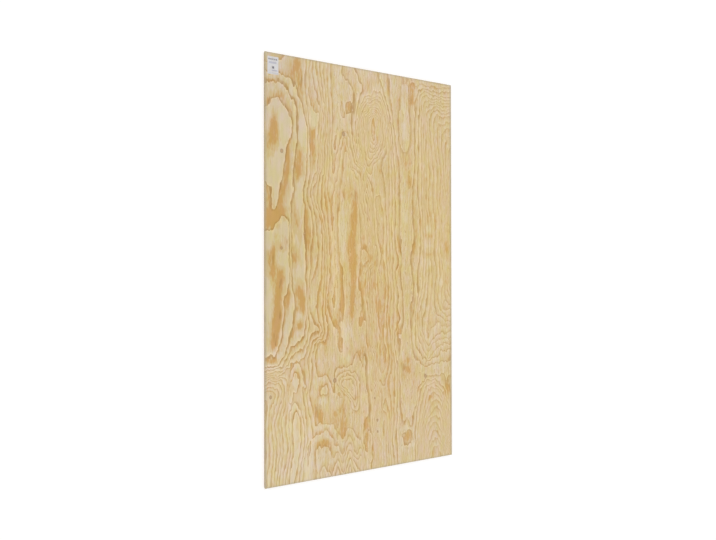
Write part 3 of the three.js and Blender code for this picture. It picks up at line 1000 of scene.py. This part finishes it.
def sawn_edge(wood, sheet):
    """Plywood cut with a trim saw: pale long grain and darker, rougher end grain turn by turn.

    A ply that is cut across its fibres drinks light, so it looks brown beside one cut along them.
    The resin between two plies shows as a thin dark line, the saw leaves fine upright marks, and
    where two sheets of an inner ply were laid with a gap between them there is a slot, painted dark
    as its shade.
    """
    material, tree, shader = new_material("sawn_plywood_edge")
    _, x, y, z = coordinates(tree)
    level = add(tree, "ShaderNodeMath", (z, sheet.sanded_off), operation="ADD")
    plies = add(tree, "ShaderNodeMath", (level, peeled_thickness(sheet)), operation="DIVIDE")
    ply = add(tree, "ShaderNodeMath", (plies,), operation="FLOOR")
    within = add(tree, "ShaderNodeMath", (plies,), operation="FRACT")

    # On the long edges, whose normal is within 45 degrees of X, the odd plies show end grain, and
    # on the short ones the even.
    normal = add(tree, "ShaderNodeNewGeometry").outputs["True Normal"]
    facing = add(tree, "ShaderNodeSeparateXYZ", (normal,)).outputs["X"]
    facing = add(tree, "ShaderNodeMath", (facing,), operation="ABSOLUTE")
    long_edge = add(tree, "ShaderNodeMath", (facing, 0.7), operation="GREATER_THAN")
    odd = add(tree, "ShaderNodeMath", (ply, 2.0), operation="MODULO")
    end = add(tree, "ShaderNodeMath", (odd, long_edge, 0.1), operation="COMPARE")

    run = add(tree, "ShaderNodeMath", (x, y), operation="ADD")
    flat = add(tree, "ShaderNodeCombineXYZ", (run, ply, z))

    def along_edge(run_size, ply_step, rise_size, detail=2.0):
        """Random values of the given size along the edge and up it, different in each ply."""
        scale = (1 / run_size, ply_step, 1 / rise_size)
        stretched = add(tree, "ShaderNodeMapping", {"Vector": flat, "Scale": scale})
        return add(tree, "ShaderNodeTexNoise", {
            "Vector": stretched, "Scale": 1.0, "Detail": detail})

    # Long grain: streaks that run with the edge. End grain: the arcs of the rings, and the open
    # ends of fibres, which are too fine to show and are drawn as specks a millimetre wide.
    streaks = along_edge(45 * MM, 7.3, 0.5 * MM)
    specks = along_edge(1.1 * MM, 5.1, 0.9 * MM)
    rings = along_edge(16 * MM, 9.7, 3 * MM)
    saw_marks = along_edge(1.6 * MM, 0, 40 * MM, 1.0)
    streaks = add(tree, "ShaderNodeMapRange", (streaks, 0.35, 0.75), **SOFT)
    rings = add(tree, "ShaderNodeMapRange", (rings, 0.38, 0.66), **SOFT)
    open_ends = add(tree, "ShaderNodeMapRange", (specks, 0.52, 0.72, 0.0, 0.45), **SOFT)
    along = add(tree, "ShaderNodeMix", (streaks, linear("#d9bf92"), linear("#c09a64")), **COLOURS)
    across = add(tree, "ShaderNodeMix", (rings, wood.end_grain, linear("#9c7546")), **COLOURS)
    across = add(tree, "ShaderNodeMix", (open_ends, across, linear("#77542f")), **COLOURS)
    colour = add(tree, "ShaderNodeMix", (end, along, across), **COLOURS)

    # The glue line fades out 0.2 mm from the joint, and there is none on the faces.
    glue = add(tree, "ShaderNodeMapRange", (apart(tree, within, 0.5), 0.43, 0.485), **SOFT)
    half_way = sheet.ply_count / 2
    inner = apart(tree, plies, half_way)
    inner = add(tree, "ShaderNodeMath", (inner, half_way - 0.6), operation="LESS_THAN")
    glue = add(tree, "ShaderNodeMath", (glue, inner), operation="MULTIPLY")
    glue = add(tree, "ShaderNodeMath", (glue, 0.8), operation="MULTIPLY")
    grime = patchy(tree, (60 * MM, 60 * MM, 12 * MM), 4.2, (0.45, 0.75), (0.05, 0.45), detail=3.0)
    gaps = core_gaps(tree, ply, long_edge, x, y)
    gaps = add(tree, "ShaderNodeMath", (gaps, end), operation="MULTIPLY")
    # Glue and grime are colours of their own. The near-black of the gaps is painted shade, because
    # the slots are not cut into the mesh and the bump only presses them in.
    for amount, tone in ((glue, wood.glue), (grime, linear("#8d8468")), (gaps, linear("#33241a"))):
        colour = add(tree, "ShaderNodeMix", (amount, colour, tone), **COLOURS)

    rough_ends = add(tree, "ShaderNodeMath", (end, 0.8), operation="MULTIPLY")
    relief = add(tree, "ShaderNodeMath", (specks, rough_ends, saw_marks), operation="MULTIPLY_ADD")
    depth = add(tree, "ShaderNodeMath", (gaps, 2.0), operation="MULTIPLY")
    relief = add(tree, "ShaderNodeMath", (relief, depth), operation="SUBTRACT")
    bump = add(
        tree, "ShaderNodeBump", {"Strength": 0.5, "Distance": sheet.saw_marks, "Height": relief})
    feed(tree, shader, {"Base Color": colour, "Roughness": 0.85, "Normal": bump})
    return material


def edge_material(plywood):
    """The sawn edge is one material on all plies."""
    return bpy.data.materials.get("sawn_plywood_edge") or sawn_edge(plywood.wood, plywood.sheet)


def label_paper(label):
    """Coated paper: smooth, cool white beside the wood, with plain bars of grey and dark print."""
    material, tree, shader = new_material("coated_label_paper")
    _, x, y, _ = coordinates(tree)
    middle = (LABEL_LOW + LABEL_HIGH) / 2
    across = add(tree, "ShaderNodeMath", (x, middle.x), operation="SUBTRACT")
    down = add(tree, "ShaderNodeMath", (LABEL_HIGH.y, y), operation="SUBTRACT")
    grey = linear("#9c9db6")
    # Printed blocks: millimetres from the middle of the label and from its top, width, height, ink
    # and how much of it.
    blocks = [(-26 + 10.4 * step, 11, 8, 9, label.ink, 0.65) for step in range(5)]
    blocks += [(-23, 29, 42, 11, grey, 0.55), (-5, 55, 11, 13, label.ink, 0.9),
               (-7, 75, 32, 6, grey, 0.75), (-27, 92, 54, 2, grey, 0.5)]
    colour = label.paper
    for left, top, width, height, ink, amount in blocks:
        within = amount
        for measure, start, size in ((across, left, width), (down, top, height)):
            off = apart(tree, measure, (start + size / 2) * MM)
            covered = add(tree, "ShaderNodeMath", (off, size / 2 * MM), operation="LESS_THAN")
            within = add(tree, "ShaderNodeMath", (covered, within), operation="MULTIPLY")
        colour = add(tree, "ShaderNodeMix", (within, colour, ink), **COLOURS)
    smudge = patchy(tree, (22 * MM, 30 * MM), 2.2, (0.4, 0.75), (0.0, 0.4), detail=3.0)
    colour = add(tree, "ShaderNodeMix", (smudge, colour, linear("#b5aca0")), **COLOURS)
    # The paper's own fibres are too fine to show, and are drawn as waves 1.2 mm long.
    waves = mottling(tree, (1.2 * MM, 1.2 * MM), 6.6)
    bump = add(tree, "ShaderNodeBump", {"Strength": 0.12, "Distance": 0.1 * MM, "Height": waves})
    feed(tree, shader, {"Base Color": colour, "Roughness": 0.42, "Normal": bump})
    return material


# ---------------------------------------------------------------- materials: the stage

def seen_itself(tree):
    """1 where a surface is seen, by the camera, in a gloss or through glass, and 0 elsewhere."""
    path = add(tree, "ShaderNodeLightPath").outputs
    seen = path["Is Camera Ray"]
    for ray in ("Is Glossy Ray", "Is Transmission Ray"):
        seen = add(tree, "ShaderNodeMath", (seen, path[ray]), operation="MAXIMUM")
    return seen


def floor_paint(stage):
    """Matt white studio paint.

    It takes the sheet's soft shadow, and a little light of its own, which lights nothing else,
    brings the rest of it to white.
    """
    material, tree, shader = new_material("matt_studio_paint")
    glow = add(tree, "ShaderNodeMath", (seen_itself(tree), 0.06), operation="MULTIPLY")
    feed(tree, shader, {"Base Color": stage.floor_colour, "Roughness": 0.95,
                        "Emission Color": (1, 1, 1), "Emission Strength": glow})
    return material


# ---------------------------------------------------------------- pieces

def write_figure(piece, lines, spots, tints, seed):
    """Gives every vertex its ring number, the slopes of that number and its tint, as attributes.

    The trunk was not as smooth as a plate, so the grain wanders a few millimetres. A patch of tint
    has a flat top, and is half gone at its half width.
    """
    mesh = piece.data
    places = np.empty(len(mesh.vertices) * 3)
    mesh.vertices.foreach_get("co", places)
    x = (places[0::3] - PANEL_LOW.x) / MM
    y = (PANEL_HIGH.y - places[1::3]) / MM

    def wandering(reach, width, length, seed):
        return reach * smooth_noise(x / width, y / length, seed)

    wander_x = x + wandering(reach=5, width=45, length=160, seed=seed)
    wander_y = y + wandering(reach=12, width=70, length=110, seed=seed + 1)
    rings, across, along = bent_plate(lines, spots, wander_x, wander_y)
    flat_top, half_gone = 1.5, 0.7
    tint = np.zeros_like(x)
    for amount, px, py, half_width, half_length in tints:
        spread = ((wander_x - px) / half_width) ** 2 + ((wander_y - py) / half_length) ** 2
        tint += amount * np.exp(-half_gone * spread ** flat_top)
    slopes = np.column_stack([across, along, np.zeros_like(across)])
    for name, kind, part, values in (("ring", "FLOAT", "value", rings),
                                     ("slope", "FLOAT_VECTOR", "vector", slopes),
                                     ("tint", "FLOAT", "value", tint)):
        attribute = mesh.attributes.new(name, kind, "POINT")
        attribute.data.foreach_set(part, values.astype(np.float32).ravel())


def veneer_piece(side, ply, figure, knots, cell, seed):
    """The face or the back veneer: a closed slab, its outer side a grid that carries the figure.

    The figure is its lines, spots and tints. The cell is the size of one of the grid's, and the
    seed is for the wandering of the grain.
    """
    plywood = bpy.context.scene.plywood
    sheet = plywood.sheet
    materials = sanded_pine(plywood.wood, f"sanded_pine_{side}", knots), edge_material(plywood)
    low, high = ply_levels(sheet, ply)
    top = ply > 0
    half_x, half_y = SHEET_WIDTH / 2, SHEET_LENGTH / 2
    face, ease, joint = (high, high - sheet.arris, low) if top else (low, low + sheet.arris, high)
    back = half_x - sheet.draw_back
    outlines = [
        (half_x - sheet.arris, half_y - sheet.arris, sheet.corner_radius - sheet.arris, face),
        (back, half_y, sheet.corner_radius, ease),
        (back, half_y, sheet.corner_radius, joint),
    ]
    nx, ny = round(SHEET_WIDTH / cell[0]), round(SHEET_LENGTH / cell[1])
    vertices, faces = slab(outlines, nx, ny)
    if not top:
        faces = [tuple(reversed(f)) for f in faces]
    piece = new_piece(f"{side}_veneer", vertices, faces, *materials)
    write_figure(piece, *figure, seed)
    for polygon in piece.data.polygons:
        outer = abs(polygon.normal.z) > LEVEL and abs(polygon.center.z - face) < sheet.arris / 2
        polygon.material_index = 0 if outer else 1
    baking_map(piece, pixels=1024, strip=10, hidden_faces=1, face_side=1 if top else -1)
    place_piece(piece, "plywood_panel")


def ply_stack_tree(name):
    """Geometry Nodes that stack the inner plies, their grain crossed turn by turn."""
    tree = bpy.data.node_groups.new(name, "GeometryNodeTree")
    sockets = (("Plies", "Int"), ("First level", "Float"), ("Ply thickness", "Float"),
               ("Width", "Float"), ("Length", "Float"), ("Corner radius", "Float"),
               ("Draw-back", "Float"), ("Material", "Material"))
    for label, kind in sockets:
        tree.interface.new_socket(label, in_out="INPUT", socket_type=f"NodeSocket{kind}")
    tree.interface.new_socket("Geometry", in_out="OUTPUT", socket_type="NodeSocketGeometry")
    given = add(tree, "NodeGroupInput").outputs

    first = add(tree, "ShaderNodeCombineXYZ", {"Z": given["First level"]})
    step = add(tree, "ShaderNodeCombineXYZ", {"Z": given["Ply thickness"]})
    levels = add(tree, "GeometryNodeMeshLine", {
        "Count": given["Plies"], "Start Location": first, "Offset": step})
    # The inner plies take turns, the first with its grain along X and the next along Y. Side grain
    # draws back from the saw cut: on the short edges of the first and the long edges of the next.
    turn = add(tree, "GeometryNodeInputIndex")
    along_y = add(tree, "ShaderNodeMath", (turn, 2.0), operation="MODULO")
    along_x = add(tree, "ShaderNodeMath", (1.0, along_y), operation="SUBTRACT")
    twice = add(tree, "ShaderNodeMath", (given["Draw-back"], 2.0), operation="MULTIPLY")
    narrower = add(tree, "ShaderNodeMath", (given["Width"], twice), operation="SUBTRACT")
    shorter = add(tree, "ShaderNodeMath", (given["Length"], twice), operation="SUBTRACT")

    def joined(first, second):
        both = add(tree, "GeometryNodeJoinGeometry", (first,))
        feed(tree, both, (second,))
        return both

    def slab_of(width, length):
        outline = add(tree, "GeometryNodeCurvePrimitiveQuadrilateral", {
            "Width": width, "Height": length})
        rounded = add(tree, "GeometryNodeFilletCurve", {
            "Curve": outline, "Count": CORNER_STEPS, "Radius": given["Corner radius"]}, mode="POLY")
        filled = add(tree, "GeometryNodeFillCurve", {"Curve": rounded}, mode="NGONS")
        raised = add(tree, "GeometryNodeExtrudeMesh", {
            "Mesh": filled, "Offset Scale": given["Ply thickness"], "Individual": False})
        base = add(tree, "GeometryNodeFlipFaces", {"Mesh": filled})
        return add(tree, "GeometryNodeMergeByDistance", {
            "Geometry": joined(raised, base), "Distance": 0.01 * MM})

    y_plies = add(tree, "GeometryNodeInstanceOnPoints", {
        "Points": levels, "Selection": along_y, "Instance": slab_of(narrower, given["Length"])})
    x_plies = add(tree, "GeometryNodeInstanceOnPoints", {
        "Points": levels, "Selection": along_x, "Instance": slab_of(given["Width"], shorter)})
    real = add(tree, "GeometryNodeRealizeInstances", (joined(y_plies, x_plies),))
    finished = add(tree, "GeometryNodeSetMaterial", {
        "Geometry": real, "Material": given["Material"]})
    add(tree, "NodeGroupOutput", {"Geometry": finished})
    return tree


def from_nodes(name, tree, values):
    """A plain mesh object made by a Geometry Nodes tree with the given input values."""
    maker = new_piece(name + "_maker", [], [])
    modifier = maker.modifiers.new("made", "NODES")
    modifier.node_group = tree
    for item in tree.interface.items_tree:
        if item.in_out == "INPUT":
            modifier[item.identifier] = values[item.name]
    evaluated = maker.evaluated_get(bpy.context.evaluated_depsgraph_get())
    mesh = bpy.data.meshes.new_from_object(evaluated)
    mesh.name = name
    maker.modifiers.remove(modifier)
    bpy.data.objects.remove(maker)
    return in_scene(name, mesh)


def place_piece(piece, node):
    """Puts a finished piece on its body, in place of its CAD node."""
    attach(piece, BODY)
    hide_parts(node)


# ---------------------------------------------------------------- operators

class PLYWOOD_OT_face_veneer(bpy.types.Operator):
    """Make the better face, with its figure and pin knots"""

    bl_idname = "plywood.face_veneer"
    bl_label = "Face veneer"

    def execute(self, context):
        top = context.scene.plywood.sheet.ply_count - 1
        veneer_piece("face", top, (FACE_LINES, FACE_SPOTS, FACE_TINTS), FACE_KNOTS,
                     cell=(5 * MM, 10 * MM), seed=11)
        return {"FINISHED"}


class PLYWOOD_OT_back_veneer(bpy.types.Operator):
    """Make the plainer back"""

    bl_idname = "plywood.back_veneer"
    bl_label = "Back veneer"

    def execute(self, context):
        veneer_piece("back", 0, (BACK_LINES, BACK_SPOTS, BACK_TINTS), BACK_KNOTS,
                     cell=(10 * MM, 20 * MM), seed=23)
        return {"FINISHED"}


class PLYWOOD_OT_inner_plies(bpy.types.Operator):
    """Stack the inner plies, their grain crossed"""

    bl_idname = "plywood.inner_plies"
    bl_label = "Inner plies"

    def execute(self, context):
        plywood = context.scene.plywood
        sheet = plywood.sheet
        low, high = ply_levels(sheet, 1)
        piece = from_nodes("inner_plies", ply_stack_tree("crossed plies"), {
            "Plies": sheet.ply_count - 2, "First level": low, "Ply thickness": high - low,
            "Width": SHEET_WIDTH, "Length": SHEET_LENGTH, "Corner radius": sheet.corner_radius,
            "Draw-back": sheet.draw_back, "Material": edge_material(plywood)})
        baking_map(piece, pixels=1024, strip=230, hidden_faces=2 * (sheet.ply_count - 2))
        place_piece(piece, "plywood_panel")
        return {"FINISHED"}


class PLYWOOD_OT_label(bpy.types.Operator):
    """Stick the label on"""

    bl_idname = "plywood.label"
    bl_label = "Label"

    def execute(self, context):
        label = context.scene.plywood.label
        width, length = LABEL_HIGH.x - LABEL_LOW.x, LABEL_HIGH.y - LABEL_LOW.y
        centre = (LABEL_LOW + LABEL_HIGH) / 2
        outlines = [(width / 2, length / 2, label.corner_radius, level)
                    for level in (LABEL_HIGH.z, LABEL_LOW.z)]
        vertices, faces = slab(outlines, nx=6, ny=10)
        vertices = [(x + centre.x, y + centre.y, z) for x, y, z in vertices]
        piece = new_piece("label", vertices, faces, label_paper(label))
        baking_map(piece, pixels=256, strip=3, hidden_faces=1, face_side=1)
        place_piece(piece, "paper_label")
        return {"FINISHED"}


class PLYWOOD_OT_stage(bpy.types.Operator):
    """Lay the floor, hang the light and stand the camera"""

    bl_idname = "plywood.stage"
    bl_label = "Stage"

    def execute(self, context):
        stage = context.scene.plywood.stage
        far = 30.0
        corners = [(-far, -far, 0), (far, -far, 0), (far, far, 0), (-far, far, 0)]
        floor = new_piece("studio_floor", corners, [(0, 1, 2, 3)], floor_paint(stage))

        world = context.scene.world or bpy.data.worlds.new("sky")
        context.scene.world = world
        world.use_nodes = True
        tree = world.node_tree
        tree.nodes.clear()
        brightness = add(tree, "ShaderNodeMapRange", (seen_itself(tree), 0.0, 1.0, stage.sky, 1.0))
        sky = add(tree, "ShaderNodeBackground", {"Color": (1, 1, 1), "Strength": brightness})
        add(tree, "ShaderNodeOutputWorld", {"Surface": sky})

        lamp = bpy.data.lights.new("key", "SUN")
        lamp.energy = stage.key
        lamp.angle = math.radians(40)
        in_scene("key", lamp).rotation_euler = (math.radians(-18), math.radians(-16), 0)

        lens = bpy.data.cameras.new("camera")
        lens.sensor_width = 36
        lens.lens = stage.lens
        camera = in_scene("camera", lens)
        camera.location = stage.camera_place
        camera.rotation_euler = stage.camera_turn
        context.scene.camera = camera
        context.scene.view_settings.view_transform = "Standard"
        return {"FINISHED"}


class PLYWOOD_PT_sheet(bpy.types.Panel):
    """The operators in order"""

    bl_label = "Plywood sheet"
    bl_idname = "PLYWOOD_PT_sheet"
    bl_space_type = "VIEW_3D"
    bl_region_type = "UI"
    bl_category = "Plywood"

    def draw(self, context):
        for operator in OPERATORS:
            self.layout.operator(operator.bl_idname)


SETTINGS = (SheetSettings, WoodColours, LabelSettings, StageSettings, PlywoodSettings)
OPERATORS = (PLYWOOD_OT_face_veneer, PLYWOOD_OT_inner_plies, PLYWOOD_OT_back_veneer,
             PLYWOOD_OT_label, PLYWOOD_OT_stage)


def register():
    for cls in (*SETTINGS, *OPERATORS, PLYWOOD_PT_sheet):
        bpy.utils.register_class(cls)
    bpy.types.Scene.plywood = bpy.props.PointerProperty(type=PlywoodSettings)


def unregister():
    del bpy.types.Scene.plywood
    for cls in reversed((*SETTINGS, *OPERATORS, PLYWOOD_PT_sheet)):
        bpy.utils.unregister_class(cls)


def main():
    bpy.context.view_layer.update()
    register()
    bpy.ops.plywood.face_veneer()
    bpy.ops.plywood.inner_plies()
    bpy.ops.plywood.back_veneer()
    bpy.ops.plywood.label()
    bpy.ops.plywood.stage()


if __name__ == "__main__":
    main()
